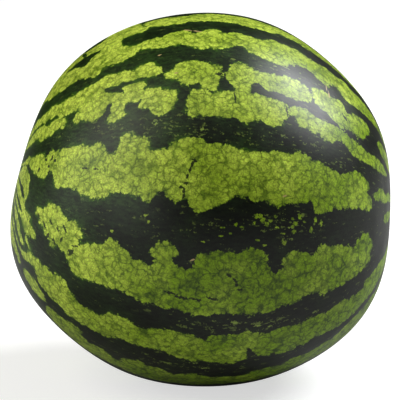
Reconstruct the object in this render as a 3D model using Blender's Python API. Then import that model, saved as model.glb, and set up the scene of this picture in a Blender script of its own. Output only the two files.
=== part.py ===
# A seedless watermelon lying on its side: a near-round rind body with a shallow dimple round the stem,
# a small scar at the blossom end and a small flat spot underneath, and the dry stub of its stem.
# Metres, +Z up. The origin lies on the rest surface, under the middle of the body's box. The stem end
# points to -X and the blossom end to +X.

import math

import bmesh
import bpy
from mathutils import Vector

for old in list(bpy.data.objects):
    bpy.data.objects.remove(old, do_unlink=True)

# The body is a sphere with a few low swells, as the fruit grows a little out of round. Each swell is
# (lobes round Y, height, angle of its first lobe in degrees from +X up towards +Z).
BODY_RADIUS = 0.125
SWELLS = (
    (2, 0.00127, -3.2),
    (3, 0.00212, -34.5),
    (4, 0.00126, 36.2),
    (5, 0.00077, -25.4),
    (6, 0.00109, 18.8),
    (7, 0.00041, -20.9),
    (8, 0.00042, 17.9),
)
BODY_MIDDLE_X = 0.0022  # the stem side swells more, so the middle lies right of the box's middle

# The rest spot is where the fruit lay on the ground: a level cut this deep. Ring points this near the
# cut are drawn onto it.
REST_CUT = 0.0023
REST_SNAP = 0.0002

# Where the two ends lie on the body, in degrees: rise above level, and swing back towards +Y.
STEM_END = (9.1, 7.1)
BLOSSOM_END = (-1.2, 4.9)

# Dimples round the two ends: depth and radius.
STEM_DIMPLE = (0.0062, 0.024)
BLOSSOM_DIMPLE = (0.0014, 0.017)
SCAR_RADIUS = 0.0055
SCAR_HEIGHT = 0.0007

# The plain socket that the stem stub stands in.
SOCKET_RADIUS = 0.0062
SOCKET_DEPTH = 0.0030
CLEARANCE = 0.0003

# The stub: a ribbed stalk that flares where it joins the fruit, with a cut, slightly hollowed top.
STUB_HEIGHT = 0.0088
STUB_RADIUS = 0.0042
STUB_FLARE = 0.0016
STUB_RIBS = 5
STUB_RIB_HEIGHT = 0.00045
STUB_CUT_SLANT = 0.10
STUB_CUT_HOLLOW = 0.0007
STUB_HOLLOW_SHARE = 0.62  # radius of the hollow's floor, as a share of the cut's

# Mesh density. Rings crowd towards both ends by the share given in RING_CROWDING.
BODY_SIDES = 80
BODY_RINGS = 46
RING_CROWDING = 0.55
STUB_SIDES = 30
STUB_RINGS = 7

LEAVE_ROUNDS = 12  # rounds of the search for where a ray leaves the body

SHARP_DEGREES = 50  # edges bent more than this are shaded sharp
RIND_COLOR = (0.10, 0.17, 0.035)
RIND_ROUGHNESS = 0.42
STALK_COLOR = (0.22, 0.16, 0.07)
STALK_ROUGHNESS = 0.85


def end_direction(rise_deg, back_deg, side):
    """Unit vector from the body's middle to an end, side -1 for the stem and +1 for the blossom."""
    rise, back = math.radians(rise_deg), math.radians(back_deg)
    return Vector((
        side * math.cos(rise) * math.cos(back),
        math.cos(rise) * math.sin(back),
        math.sin(rise),
    ))


def dimple(angle, depth, radius):
    """How far a dimple lowers the rind at this angle from its own middle."""
    share = angle * BODY_RADIUS / radius
    return 0.5 * depth * (1 + math.cos(math.pi * share)) if share < 1 else 0.0


def scar(angle):
    """The blossom scar stands a little proud, like a button with a soft edge."""
    share = angle * BODY_RADIUS / SCAR_RADIUS
    return SCAR_HEIGHT * (1 - share ** 4) if share < 1 else 0.0


def body_radius(direction):
    """Distance from the body's middle to the rind, along a unit vector."""
    across = math.hypot(direction.x, direction.z)
    angle = math.atan2(direction.z, direction.x)
    radius = BODY_RADIUS
    for lobes, height, first in SWELLS:
        radius += height * across ** lobes * math.cos(lobes * (angle - math.radians(first)))
    radius -= dimple(direction.angle(stem_direction), *STEM_DIMPLE)
    from_blossom = direction.angle(blossom_direction)
    return radius - dimple(from_blossom, *BLOSSOM_DIMPLE) + scar(from_blossom)


def leave_point(start, direction):
    """Where a ray from inside the body leaves the rind. Both are relative to the body's middle."""
    along = start.dot(direction)
    point = start + direction * BODY_RADIUS
    for _ in range(LEAVE_ROUNDS):
        radius = body_radius(point.normalized())
        step = -along + math.sqrt(along * along - start.length_squared + radius * radius)
        point = start + direction * step
    return point


stem_direction = end_direction(*STEM_END, -1)
blossom_direction = end_direction(*BLOSSOM_END, 1)

# The growth axis runs from the stem end to the blossom end. Mesh rings lie round it.
stem_point = stem_direction * body_radius(stem_direction)
blossom_point = blossom_direction * body_radius(blossom_direction)
axis_middle = (stem_point + blossom_point) / 2
growth_axis = (blossom_point - stem_point).normalized()
front = (Vector((0, -1, 0)) - growth_axis * -growth_axis.y).normalized()
upward = front.cross(growth_axis)

# The body's middle stands over the rest surface by its lowest radius less the cut.
rest_radius = body_radius(Vector((0, 0, -1)))
body_middle = Vector((BODY_MIDDLE_X, 0, rest_radius - REST_CUT))

# The socket is bored along the growth axis, and the stub stands on its floor.
socket_mouth = leave_point(axis_middle, -growth_axis)
socket_floor = socket_mouth + growth_axis * SOCKET_DEPTH
stub_foot = body_middle + socket_floor - growth_axis * CLEARANCE
rim_angle = math.atan2(SOCKET_RADIUS, (socket_mouth - axis_middle).length)


def side_direction(turn):
    """Unit vector square to the growth axis, turned from the front towards the top."""
    return front * math.cos(turn) + upward * math.sin(turn)


def make_material(name, color, roughness):
    material = bpy.data.materials.new(name)
    material.use_nodes = True
    shader = material.node_tree.nodes["Principled BSDF"]
    shader.inputs["Base Color"].default_value = (*color, 1)
    shader.inputs["Roughness"].default_value = roughness
    shader.inputs["Metallic"].default_value = 0.0
    return material


def add_object(name, mesh_data, material):
    """Turns the bmesh into a smooth-shaded object with its normals out."""
    bmesh.ops.recalc_face_normals(mesh_data, faces=mesh_data.faces)
    mesh = bpy.data.meshes.new(name)
    mesh_data.to_mesh(mesh)
    mesh_data.free()
    mesh.shade_smooth()
    mesh.set_sharp_from_angle(angle=math.radians(SHARP_DEGREES))
    mesh.materials.append(material)
    thing = bpy.data.objects.new(name, mesh)
    bpy.context.scene.collection.objects.link(thing)
    return thing


def join_rings(mesh_data, rings):
    """Quads between rings of equal count, and a fan to each end where a ring is a single vertex."""
    for lower, upper in zip(rings, rings[1:]):
        count = max(len(lower), len(upper))
        for i in range(count):
            j = (i + 1) % count
            if len(lower) == 1:
                corners = (lower[0], upper[j], upper[i])
            elif len(upper) == 1:
                corners = (lower[i], lower[j], upper[0])
            else:
                corners = (lower[i], lower[j], upper[j], upper[i])
            mesh_data.faces.new(corners)


def cut_rest_spot(mesh_data):
    """Cuts the underside off level and closes the cut with one flat face."""
    cut = bmesh.ops.bisect_plane(
        mesh_data,
        geom=mesh_data.verts[:] + mesh_data.edges[:] + mesh_data.faces[:],
        dist=REST_SNAP,
        plane_co=(0, 0, 0),
        plane_no=(0, 0, 1),
        clear_inner=True,
    )
    edges = [part for part in cut["geom_cut"] if isinstance(part, bmesh.types.BMEdge)]
    for edge in edges:
        for corner in edge.verts:
            corner.co.z = 0.0
    bmesh.ops.contextual_create(mesh_data, geom=edges)


def ring_angle(share):
    """Angle from the stem along the growth axis, with rings crowded towards both ends."""
    eased = share - RING_CROWDING * math.sin(2 * math.pi * share) / (2 * math.pi)
    return rim_angle + (math.pi - rim_angle) * eased


def make_melon():
    """The rind: socket floor, socket wall, then rings round the growth axis to the blossom end."""
    mesh_data = bmesh.new()
    turns = [2 * math.pi * i / BODY_SIDES for i in range(BODY_SIDES)]
    rim = [leave_point(axis_middle + side_direction(t) * SOCKET_RADIUS, -growth_axis) for t in turns]
    rings = [
        [mesh_data.verts.new(body_middle + socket_floor)],
        [mesh_data.verts.new(body_middle + socket_floor + side_direction(t) * SOCKET_RADIUS) for t in turns],
        [mesh_data.verts.new(body_middle + point) for point in rim],
    ]
    for step in range(1, BODY_RINGS):
        angle = ring_angle(step / BODY_RINGS)
        ring = []
        for turn in turns:
            direction = side_direction(turn) * math.sin(angle) - growth_axis * math.cos(angle)
            ring.append(mesh_data.verts.new(body_middle + leave_point(axis_middle, direction)))
        rings.append(ring)
    rings.append([mesh_data.verts.new(body_middle + blossom_point)])
    join_rings(mesh_data, rings)
    cut_rest_spot(mesh_data)
    rind = make_material("waxy_rind", RIND_COLOR, RIND_ROUGHNESS)
    return add_object("melon", mesh_data, rind)


def stub_point(turn, height_share):
    """A point on the stub's side: round, with ribs, flared at its foot."""
    foot = (1 - height_share) ** 3
    radius = STUB_RADIUS + STUB_FLARE * foot
    radius += STUB_RIB_HEIGHT * (1 - foot) * math.cos(STUB_RIBS * turn)
    slant = 1 + STUB_CUT_SLANT * math.cos(turn) * height_share
    height = STUB_HEIGHT * height_share * slant
    return stub_foot + side_direction(turn) * radius - growth_axis * height


def make_stem_stub():
    """The dry stalk, standing in the socket with a clearance all round."""
    mesh_data = bmesh.new()
    turns = [2 * math.pi * i / STUB_SIDES for i in range(STUB_SIDES)]
    rings = [[mesh_data.verts.new(stub_foot)]]
    for step in range(STUB_RINGS + 1):
        share = step / STUB_RINGS
        rings.append([mesh_data.verts.new(stub_point(turn, share)) for turn in turns])
    top = stub_foot - growth_axis * STUB_HEIGHT
    hollow = top + growth_axis * STUB_CUT_HOLLOW
    rings.append([
        mesh_data.verts.new(hollow + (stub_point(turn, 1) - top) * STUB_HOLLOW_SHARE) for turn in turns
    ])
    rings.append([mesh_data.verts.new(hollow)])
    join_rings(mesh_data, rings)
    stalk = make_material("dry_stalk", STALK_COLOR, STALK_ROUGHNESS)
    return add_object("stem_stub", mesh_data, stalk)


make_melon()
make_stem_stub()
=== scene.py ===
# Looks of a seedless watermelon: the waxy rind with its stripes, the dry stub of the stem, and the
# plain studio round them. Metres, +Z up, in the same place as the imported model.

import math
from types import SimpleNamespace

import bmesh
import bpy
import numpy as np
from mathutils import Matrix, Vector
from mathutils.kdtree import KDTree


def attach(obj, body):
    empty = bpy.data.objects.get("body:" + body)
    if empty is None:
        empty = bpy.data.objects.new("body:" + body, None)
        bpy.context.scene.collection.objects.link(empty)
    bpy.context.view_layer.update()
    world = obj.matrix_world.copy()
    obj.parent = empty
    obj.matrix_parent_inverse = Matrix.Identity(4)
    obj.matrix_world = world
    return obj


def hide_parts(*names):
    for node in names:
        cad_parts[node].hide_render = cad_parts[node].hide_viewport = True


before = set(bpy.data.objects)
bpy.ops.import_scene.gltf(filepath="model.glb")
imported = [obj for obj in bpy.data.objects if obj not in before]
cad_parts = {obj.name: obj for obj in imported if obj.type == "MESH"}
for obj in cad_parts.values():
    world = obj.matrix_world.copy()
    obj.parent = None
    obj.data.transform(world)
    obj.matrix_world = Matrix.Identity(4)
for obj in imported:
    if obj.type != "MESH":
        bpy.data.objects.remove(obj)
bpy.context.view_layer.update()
scene = bpy.context.scene
print("frame loaded:", sorted(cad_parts))

mm = 0.001
mixFactor, mixA, mixB = 0, 6, 7  # a Mix node's colour sockets
rgba, softly = {"data_type": "RGBA"}, {"interpolation_type": "SMOOTHSTEP"}  # settings used often


def linear(hexColor):
    # sRGB hex to the linear colour that a shader takes
    parts = [int(hexColor[i:i + 2], 16) / 255 for i in (1, 3, 5)]
    return (*[c / 12.92 if c <= 0.04045 else ((c + 0.055) / 1.055) ** 2.4 for c in parts], 1.0)


mathNode, vectorNode, rampNode = "ShaderNodeMath", "ShaderNodeVectorMath", "ShaderNodeMapRange"
noiseNode, voronoiNode, mixNode = "ShaderNodeTexNoise", "ShaderNodeTexVoronoi", "ShaderNodeMix"


def addNode(tree, kind, inputs=(), **settings):
    # adds a node with its settings; inputs go by place or by name, and each is a plain value, a socket
    # to link from, or a node whose main output is linked
    node = tree.nodes.new(kind)
    for name, value in settings.items():
        setattr(node, name, value)
    for key, value in inputs.items() if isinstance(inputs, dict) else enumerate(inputs):
        if isinstance(value, bpy.types.Node):
            value = next(socket for socket in value.outputs if socket.enabled)
        if isinstance(value, bpy.types.NodeSocket):
            tree.links.new(value, node.inputs[key])
        else:
            node.inputs[key].default_value = value
    return node


# The camera comes first: level with the fruit's front and looking down a little.
view = {
    "elevation": 12.0,       # degrees above the horizon
    "distance": 1.300,       # from the body's middle
    "lens": 176.9,           # mm, on a 36 mm sensor
    "aimRight": -2.14 * mm,  # what the image's middle looks at, from the body's middle
    "aimUp": 1.17 * mm,
}

# The body's shape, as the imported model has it.
body = {
    "radius": 125.0 * mm,
    "middle": (2.2 * mm, 0.0, 118.82 * mm),
    "swells": (  # lobes round Y, height, degrees of the first lobe from +X up towards +Z
        (2, 1.27 * mm, -3.2),
        (3, 2.12 * mm, -34.5),
        (4, 1.26 * mm, 36.2),
        (5, 0.77 * mm, -25.4),
        (6, 1.09 * mm, 18.8),
        (7, 0.41 * mm, -20.9),
        (8, 0.42 * mm, 17.9),
    ),
    "stemEnd": (9.1, 7.1),      # degrees: rise above level, and swing back towards +Y
    "blossomEnd": (-1.2, 4.9),
    "stemReach": 123.00 * mm,   # from the body's middle to the two ends, over their dimples
    "blossomReach": 123.24 * mm,
}

bodyMiddle = Vector(body["middle"])


def endDirection(riseDegrees, backDegrees, side):
    rise, back = math.radians(riseDegrees), math.radians(backDegrees)
    return Vector((side * math.cos(rise) * math.cos(back), math.cos(rise) * math.sin(back), math.sin(rise)))


stemDirection = endDirection(*body["stemEnd"], -1)
blossomDirection = endDirection(*body["blossomEnd"], 1)
stemPoint = stemDirection * body["stemReach"]        # both are relative to the body's middle
blossomPoint = blossomDirection * body["blossomReach"]
growthAxis = (blossomPoint - stemPoint).normalized()
axisHalf = (blossomPoint - stemPoint).length / 2
axisMiddle = (stemPoint + blossomPoint) / 2

# Markings are placed by two angles: degrees from the stem along the rind, and degrees round the
# growth axis, which are 0 towards the camera and grow towards the top.
lift = math.radians(view["elevation"])
towardsCamera = Vector((0, -math.cos(lift), math.sin(lift)))
front = (towardsCamera - growthAxis * towardsCamera.dot(growthAxis)).normalized()
upward = front.cross(growthAxis)


def makeCamera():
    camera = bpy.data.objects.new("camera", bpy.data.cameras.new("camera"))
    scene.collection.objects.link(camera)
    right = Vector((1, 0, 0))
    up = towardsCamera.cross(right)
    aim = bodyMiddle + right * view["aimRight"] + up * view["aimUp"]
    turn = Matrix((right, up, towardsCamera)).transposed().to_4x4()
    camera.matrix_world = Matrix.Translation(aim + towardsCamera * view["distance"]) @ turn
    camera.data.lens = view["lens"]
    camera.data.sensor_width = 36.0
    camera.data.dof.use_dof = False
    scene.camera = camera


makeCamera()
print("camera set")


# Light stripes, as outlines of (degrees from the stem, degrees round the axis), roughly from the top
# of the fruit downwards.
frontLight = {
    "topLeft": (
        (24, 50), (30, 47), (32, 43), (35, 41), (40, 39.5), (44, 39.5), (48, 40), (50, 38), (53, 37),
        (55, 38), (56, 40), (60, 40), (63, 41), (65, 42), (66, 44), (70, 44.5), (73, 44), (76, 44.5),
        (80, 44.5), (83, 43.5), (85, 42.5), (88, 43), (90, 42.7), (93, 43.5), (95, 45.5), (97, 46),
        (99, 43.5), (102, 42.5), (105, 41.5), (109, 41.8), (112, 43), (114, 45), (117, 46),
        (119, 45.5), (120, 44), (123, 43), (125, 42), (126, 44.5), (128, 45.5), (130, 45), (131, 43),
        (133, 42.5), (137, 42.5), (140, 43.5), (143, 45), (147, 46), (152, 47.5), (157, 49),
        (165, 51.5), (171, 53), (165, 54), (158, 55), (152, 56), (147, 57), (143, 57), (140, 57),
        (137, 55.5), (134, 57.5), (132, 56.5), (128, 55), (125, 55.5), (122, 55), (119, 54),
        (115, 55), (110, 54.5), (107, 55), (105, 53.5), (102, 52.5), (98, 52.5), (95, 53), (92, 52),
        (89, 54), (86, 53.5), (84, 51.5), (82, 51), (80, 53), (77, 53), (75, 52), (73, 50), (69, 50),
        (66, 48), (64, 48.5), (62, 49.5), (60.5, 51), (60, 55), (61.5, 57), (64, 57), (67, 58),
        (67.5, 60.5), (66, 64), (64.5, 69), (63, 75), (60, 80), (56, 84), (53, 78), (53, 70),
        (52, 66), (47, 64), (44, 66), (40, 68), (34, 67), (31, 62), (30, 57), (26, 55), (15, 54),
        (6, 53), (14, 51.5),
    ),
    "topRight": (
        (68, 62), (70, 60), (73, 59), (78, 59), (80, 60.5), (85, 61), (90, 61), (94, 61), (98, 60),
        (105, 60), (108, 62), (115, 62.5), (122, 63), (130, 64), (142, 66), (155, 69), (167, 71),
        (156, 73), (142, 72), (130, 71), (118, 72), (108, 71), (98, 71), (88, 71.5), (82, 71),
        (80, 69), (76, 69.5), (72, 70.5), (66, 70), (66, 66),
    ),
    "upperLeft": (
        (24, 36), (25, 35), (29, 33.5), (32, 32.5), (36, 33), (40, 31), (44, 31.5), (48, 31.5),
        (52, 32.5), (55, 33), (58, 35), (62, 35), (66, 34.5), (68, 36), (71, 37), (74, 35),
        (75, 32.5), (73, 31), (70, 30.5), (71, 28.5), (70, 26.5), (73, 27), (76, 26), (79.5, 25.5),
        (80.5, 23), (79.5, 20), (77, 18.3), (74, 18.2), (72.5, 20), (69, 20.3), (67, 20.5),
        (65.5, 17.5), (62, 16.5), (60.3, 17.2), (60, 19), (57.5, 18), (55.5, 17.3), (52.5, 18.5),
        (50, 18.3), (49, 20), (50, 22.5), (48, 23.5), (45, 22.8), (42, 24), (39, 25.3), (35, 25.3),
        (31, 27), (27, 28), (21, 28.5), (12, 30.5), (6, 32), (12, 34),
    ),
    "upperLeftTail": (
        (21, 25), (25, 25), (30, 25), (33, 24), (35, 22.5), (38, 22), (41, 23), (44, 22), (46, 20),
        (45, 18), (42, 17.5), (39, 16), (37, 16), (35, 14.7), (32, 15), (31, 17), (29, 18), (25, 17),
        (20, 18.5), (12, 20), (6, 22), (12, 24),
    ),
    "upperMiddle": (
        (76, 31), (75.5, 32), (77.5, 33), (79, 35.5), (82, 36.8), (85, 36.8), (88, 35.8), (91, 36),
        (91.5, 34), (91, 32), (91.5, 30), (91, 28), (90, 26.7), (87, 27), (86, 28.5), (84, 28),
        (81, 28), (79.5, 29.5), (77, 30),
    ),
    "upperRight": (
        (92.3, 33), (94, 35), (94.5, 37), (97, 37.8), (100, 37.2), (101, 36), (105, 36.2), (108, 36),
        (110, 37), (114, 37.2), (117, 36), (118.5, 34), (119, 31.5), (117, 29), (113, 29),
        (110, 28.7), (107, 29.2), (104, 29), (102, 30), (100.5, 31), (100.3, 29), (100.5, 27.4),
        (103, 28), (106, 27), (110, 26.7), (111.2, 25), (112.2, 25.5), (114, 27), (117, 27),
        (119, 26), (121, 25.5), (124, 26), (127, 26), (130, 25.5), (133, 24), (136, 23), (139, 22.5),
        (143, 22), (147, 22.5), (152, 22.5), (156, 21), (156, 18), (151, 16.5), (147, 15.5),
        (142, 16), (137, 16.2), (134, 16.5), (132, 18), (130.5, 20), (127, 19.5), (125, 18),
        (123, 18), (121, 19.5), (118, 19.5), (115, 20), (113, 22), (112, 23), (110, 21), (109, 19),
        (106, 18), (103, 19), (101, 18), (99, 17.5), (96.5, 18.5), (94, 18), (91, 18.5), (88, 18),
        (85, 18), (83.5, 19), (83, 21.5), (83, 24), (84, 26), (87, 26.3), (90, 25.5), (92, 26.2),
        (94.5, 26.3), (95.5, 27.5), (95.5, 29), (94, 30), (92.5, 31),
    ),
    "shoulderRight": (
        (119, 36), (120, 38), (122.5, 38.5), (125.5, 37.5), (128, 38.5), (131, 37.5), (131.8, 36),
        (131.5, 34.5), (133, 34.5), (134, 36), (136, 37.5), (138.5, 38), (142, 38.5), (143, 36),
        (143, 33), (141, 30), (139.5, 27), (137, 26), (133, 26.3), (131, 25.2), (129, 25.2),
        (128, 26.2), (125.5, 27.5), (123, 28.5), (121, 29.5), (120, 31.5), (119.5, 34),
    ),
    "farRight": (
        (148, 33), (150, 37), (152, 39), (156, 40), (160, 40), (168, 37), (173, 34), (168, 31),
        (160, 28), (156, 28), (152, 29), (149, 31),
    ),
    "middle": (
        (20, 5), (24, 8), (27, 7), (31, 7), (36, 7.3), (37.5, 6.5), (38.5, 5), (40, 7.3), (42, 8),
        (45, 8), (48, 8.5), (51, 9.2), (54, 9.3), (56, 8.5), (59, 9.5), (61, 9), (62, 7.5),
        (63.5, 6), (65, 5.5), (65.5, 8), (66, 11), (67.5, 12.3), (69, 11.7), (71.5, 11.5),
        (73.5, 11), (74.8, 9.5), (74.5, 8), (76, 7.7), (78, 8.5), (79.5, 8), (80, 10), (82, 11),
        (85, 11.7), (88, 11.5), (90, 10.8), (94, 10.7), (97, 10), (100, 9.8), (103, 9.8),
        (106, 10.3), (109, 10.7), (112, 10.7), (114, 11.5), (116, 11.7), (118, 11), (121, 10.5),
        (124, 9), (127, 8.2), (131, 8), (133, 9.5), (135, 10.5), (138, 10.2), (140, 9), (142, 7.5),
        (143, 5), (141, 3), (143, 2), (144, 0), (144, -3), (142, -5), (139, -4.5), (136, -4),
        (132, -4), (128, -4), (125, -4.7), (124, -6), (121, -5.5), (120, -4), (119, -2.5),
        (117, -3), (113, -3), (111, -4), (109, -4.5), (106, -3.5), (103, -3.3), (100, -2),
        (98, -2.5), (96, -4), (94, -5), (91, -6.5), (88.5, -7.2), (86.5, -6), (85.5, -4.5),
        (84, -5), (81, -4.5), (79, -3), (77, -5), (75.5, -6.3), (73.5, -5), (70, -4.5), (67, -4.5),
        (64, -6), (60, -7), (56, -6.5), (53, -5.5), (49, -6), (46, -6.2), (45, -4), (44, -2),
        (43, 0), (41, -2.5), (40, -3.5), (37, -4), (34, -2.5), (31, -1), (29, 0.5), (25, 3), (20, 3),
        (12, 2), (6, 3), (12, 4.5),
    ),
    "stemSide": (
        (6, -18), (10, -10), (14, -5), (18, 0), (22, 1.5), (25, 0.5), (28, -2.2), (30.5, -6.3),
        (30.5, -9.9), (31.5, -13.4), (30.4, -18.5), (30.3, -21.2), (33, -22.5), (36.5, -23.5),
        (35, -25.5), (38, -27), (40.5, -28.5), (38, -31), (36, -32.4), (33.4, -32.3), (31, -30),
        (28, -28), (24, -27.5), (20, -27.5), (16.5, -26.5), (10, -24),
    ),
    "stemStreak": (
        (8, -28), (16, -30), (22, -31), (26, -31), (29, -33), (31, -35.3), (33.5, -37.5), (36, -38.8),
        (34, -40.2), (31, -39.5), (27, -36.8), (22, -34.5), (15, -32.5),
    ),
    "middleRightEnd": (
        (145, 2), (147, 4), (149, 6.5), (152, 6.5), (155, 5), (158, 6), (161, 7.5), (168, 6),
        (174, 4), (168, 1), (160, 0), (156, -1), (152, -1), (148, 0), (146, 1),
    ),
    "limbRight": (
        (154, -12), (155, -9), (158, -8), (162, -9), (168, -11), (173, -13), (168, -15), (161, -17),
        (157, -16), (155, -14),
    ),
    "lowerLeft": (
        (38.5, -18), (39, -16.5), (41.5, -16.5), (43, -15), (44, -13), (47, -12.5), (49, -12.5),
        (50, -14.5), (52, -15.5), (52.5, -17), (53.5, -16), (56, -16), (57, -18), (58, -20),
        (56.5, -22), (58, -23.5), (57, -26), (53, -27), (50, -26.5), (49, -28), (47, -27.5),
        (46, -25.5), (44, -24), (42, -22), (41, -21.5), (40.5, -20), (39, -19.5),
    ),
    "lower": (
        (55, -25), (57, -24), (60, -21), (62, -20.3), (65, -20), (66, -18.5), (67, -17.7), (69, -19),
        (71, -20), (73, -21.5), (76, -22), (78, -23), (79, -21.5), (79, -20.5), (78, -19),
        (78.3, -17.5), (80, -16), (82, -15.5), (84, -17), (84.8, -19), (83.5, -20.5), (85, -22),
        (88, -22.5), (89, -20), (90, -17.5), (92, -17), (95, -16.5), (98, -16.8), (100, -17),
        (101, -15.8), (103.5, -15.5), (106, -16.5), (107.5, -18), (107.5, -20), (108.5, -21.5),
        (110, -23), (111.5, -21.5), (111.7, -19), (113, -17), (116, -16.5), (118, -17.5),
        (120, -18.5), (121.5, -17.5), (122, -16), (125, -15.7), (128, -16.5), (131, -17),
        (134, -18.5), (136, -18.5), (137, -16.5), (139, -15.5), (142, -15), (143, -17), (144, -19),
        (145.5, -20.5), (145.5, -23), (144, -25), (144, -28), (142, -30), (139, -31), (135, -31.5),
        (132, -32), (128, -32), (126, -32.7), (123, -31.5), (120, -31), (118, -32), (115, -33),
        (112, -32.7), (110, -34), (107, -34.5), (103, -34.5), (99, -34), (96, -34), (93, -34.5),
        (90, -34.7), (86, -34), (82, -34), (79, -33.5), (76, -33.5), (73, -32), (70, -31.5),
        (66, -32), (62, -32.3), (58, -33), (56, -31.5), (54.5, -29.5), (53, -27), (53.5, -25.5),
    ),
    "under": (
        (20, -40.5), (24, -40.7), (28, -41.8), (31, -42.6), (34.2, -42.8), (36.6, -41), (37.6, -37.5),
        (35.2, -34.6), (36, -34), (39, -36),
        (40, -37.7), (42, -37), (46, -37.3), (49, -37.8), (50.5, -36.7), (53.5, -36.8), (55, -38.5),
        (56, -40), (57.5, -40.5), (58.5, -42), (60, -43), (64, -43), (66.5, -42.8), (68, -41),
        (70, -40.3), (73, -40.7), (75, -42), (78, -42), (81, -41.5), (84, -41), (87, -41.3),
        (90, -41.5), (92, -42.5), (94, -43), (95.5, -41.5), (98, -41), (101, -41.5), (104, -40.8),
        (106.5, -41.2), (108.5, -42.5), (110, -42), (113, -41), (117, -41), (120, -41.2),
        (122, -40.2), (125, -41), (128, -41), (129, -39.7), (132, -39.3), (134.5, -40.5),
        (138, -41), (141, -41), (142, -39), (145, -38), (150, -38.5), (155, -40), (161, -43),
        (168, -45.5), (174, -48), (168, -51), (158, -53), (152, -53), (148, -52), (144, -51.5),
        (140, -51.5), (135, -52), (130, -52.5), (127, -51.5), (124, -51), (121, -52.5),
        (119, -51.5), (117, -53), (114, -53), (112, -52), (109, -52), (107, -50.5), (106, -49),
        (105, -51), (104, -52.5), (100, -54), (97, -53), (94, -52.5), (90, -52.5), (87, -51.5),
        (85, -50.5), (82, -49.5), (80, -49.7), (76, -50.2), (74, -49.5), (72, -49.3), (69, -51),
        (67, -51.8), (62, -51.3), (57, -51.7), (54, -50.5), (52, -49.5), (49, -49.5), (46, -48.5),
        (44, -47), (43, -44.5), (42, -42.5), (40, -43.5), (38, -43.8), (35, -45.8), (32, -45),
        (28, -43.8), (24, -42.7), (20, -42.3), (12, -40), (6, -38), (12, -38.5),
    ),
    "bottomLeft": (
        (37, -51), (39, -50), (42, -48.8), (44, -50.5), (46, -52), (47, -54), (47.5, -56),
        (43, -57.5), (38, -57), (36, -54),
    ),
    "bottom": (
        (48, -57), (51, -56.5), (54, -57), (56, -55.5), (58, -55.5), (60, -57.5), (60, -59.5),
        (62, -61.5), (64, -60.5), (67, -60.5), (68, -62), (70, -63), (72, -62.5), (73, -60),
        (75, -59), (77.5, -58.3), (80, -59.5), (84, -60.3), (85, -62), (86.5, -63), (88, -61.5),
        (91, -60.3), (94, -61.5), (96, -63), (99, -62.3), (102, -63), (106, -62.5), (108, -61),
        (112, -60.5), (115, -62), (117, -60), (120, -59.5), (123, -60), (127, -58.8), (130, -59.5),
        (134, -57.5), (138, -56), (141, -55.5), (146, -56.5), (150, -58.5), (156, -61.5),
        (164, -64), (171, -66), (164, -68), (154, -69), (140, -70.5), (126, -70), (112, -71.5),
        (98, -70.5), (84, -72), (70, -71), (60, -71.5), (52, -69), (47, -64),
    ),
    "stemLeft": (
        (20, -46), (25, -47), (30, -48.5), (33, -50), (34.5, -52), (33.5, -54), (30, -54), (28, -56),
        (26, -58), (24, -62), (20, -60), (12, -56), (6, -51), (12, -46),
    ),
}

# Dark patches, cracks and holes inside the light stripes above.
frontDark = {
    "stemCrease": (
        (8, -8), (14, -9), (20, -10), (26, -13), (29, -17), (27, -18), (20, -13.5), (14, -12), (8, -12),
    ),
    "stemCreaseLow": (
        (8, -20), (16, -20.5), (24, -22), (30, -25.5), (27, -26), (22, -24.5), (14, -23.5), (8, -23),
    ),
    "topPocket": (
        (38.5, 55.5), (41, 53.5), (44, 51), (48, 46.8), (50, 51), (53, 54.5), (49, 56), (44, 56.5),
    ),
    "topLeftGap": ((44, 64), (45.5, 58), (47, 57), (46.5, 61), (45, 65)),
    "upperHole": (
        (58.3, 28.8), (58.8, 29.6), (61, 29.4), (62.6, 29.6), (64, 31.1), (64.7, 30.3), (66.8, 30.4),
        (70, 31.4), (70.7, 30.2), (67.5, 29.5), (63.5, 28.2), (65.6, 26.5), (65, 26), (61.8, 26.8),
        (59.1, 27.6),
    ),
    "upperCleft": (
        (60.9, 23.2), (60, 21.7), (60.1, 20.5), (58.9, 18.9), (58.5, 16.6), (60.1, 16.4), (60.8, 17.7),
        (61.8, 19.9), (61.3, 20.7), (61.8, 22.6),
    ),
    "upperCleftRight": (
        (65.7, 22), (66.8, 22.5), (68, 22), (70.2, 23.3), (70.3, 22.2), (69.3, 20), (67.5, 18.5),
        (65.7, 19.5),
    ),
    "upperGap": (
        (100, 30.2), (102, 31.2), (104, 30), (106, 29.2), (109, 29.5), (111, 29.1), (115, 29.3),
        (118, 30.4), (120, 31), (122, 29.3), (124, 28.8), (127, 26.8), (130, 25.7), (131, 23.8),
        (128, 25.2), (125, 24.9), (123, 24.8), (120, 25.4), (118, 26), (116, 27.4), (113, 27.3),
        (112, 26.2), (109, 26.7), (106, 27), (103, 27.4), (101, 28),
    ),
    "underNotch": (
        (104.8, -46.7), (106.2, -48.7), (107.5, -51), (109.5, -52.8), (108.1, -54.7), (106, -52.7),
        (104.6, -49.9),
    ),
}
darkHold = 2.0  # how firmly a dark patch keeps its own outline against the cells

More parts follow.
